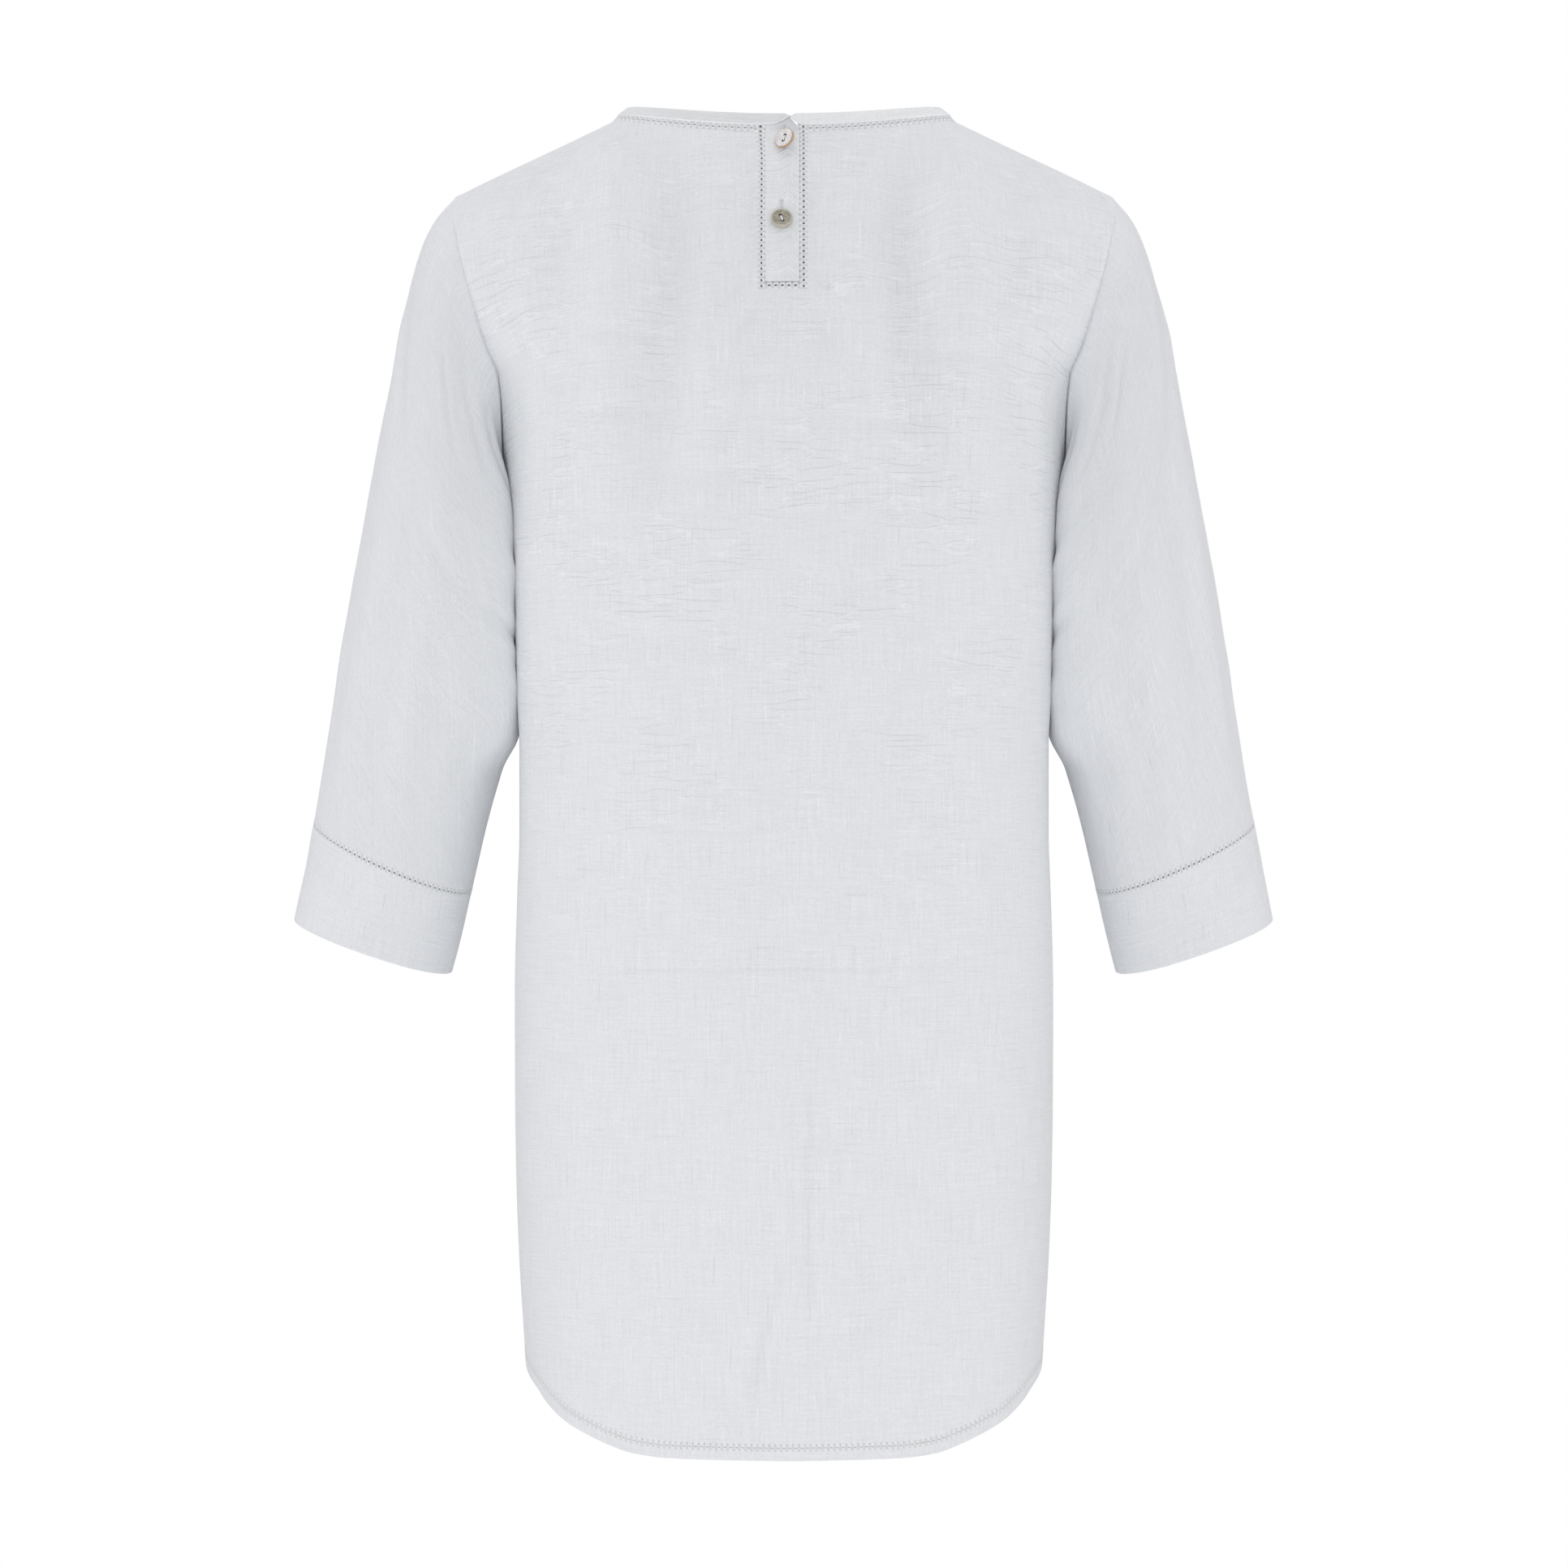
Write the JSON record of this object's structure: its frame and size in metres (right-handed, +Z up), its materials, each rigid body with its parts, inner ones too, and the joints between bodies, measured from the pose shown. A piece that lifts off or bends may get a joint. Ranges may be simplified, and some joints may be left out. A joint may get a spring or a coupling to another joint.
{
  "type": "tunic top",
  "caption": "Tunic top with three-quarter sleeves, wide boat neck, buttoned back placket, hemstitched trims and a curved hem, filled out as worn.",
  "frame": {"origin": "middle of the neck opening, at the height of the shoulder seams' neck ends, on the line of the two shoulder seams", "axes": "+Z up along the body, +Y towards the wearer's front, so the back faces -Y, +X towards the wearer's right"},
  "size_m": [0.585, 0.2648, 0.7859],
  "materials": {
    "linen": "matte woven",
    "hemstitch": "matte open stitch work",
    "light_shell": "polished shell",
    "dark_shell": "polished shell"
  },
  "bodies": {
    "root": {"back_panel": "linen", "front_panel": "linen", "sleeve_left": "linen", "sleeve_right": "linen", "cuff_left": "linen", "cuff_right": "linen", "neck_band": "linen", "placket_overlap": "linen", "placket_underlap": "linen", "hem_band_back": "linen", "hem_band_front": "linen", "neck_trim": "hemstitch", "placket_trim": "hemstitch", "cuff_trim_left": "hemstitch", "cuff_trim_right": "hemstitch", "hem_trim_back": "hemstitch", "hem_trim_front": "hemstitch", "button_upper": "light_shell", "button_lower": "dark_shell"}
  },
  "joints": []
}
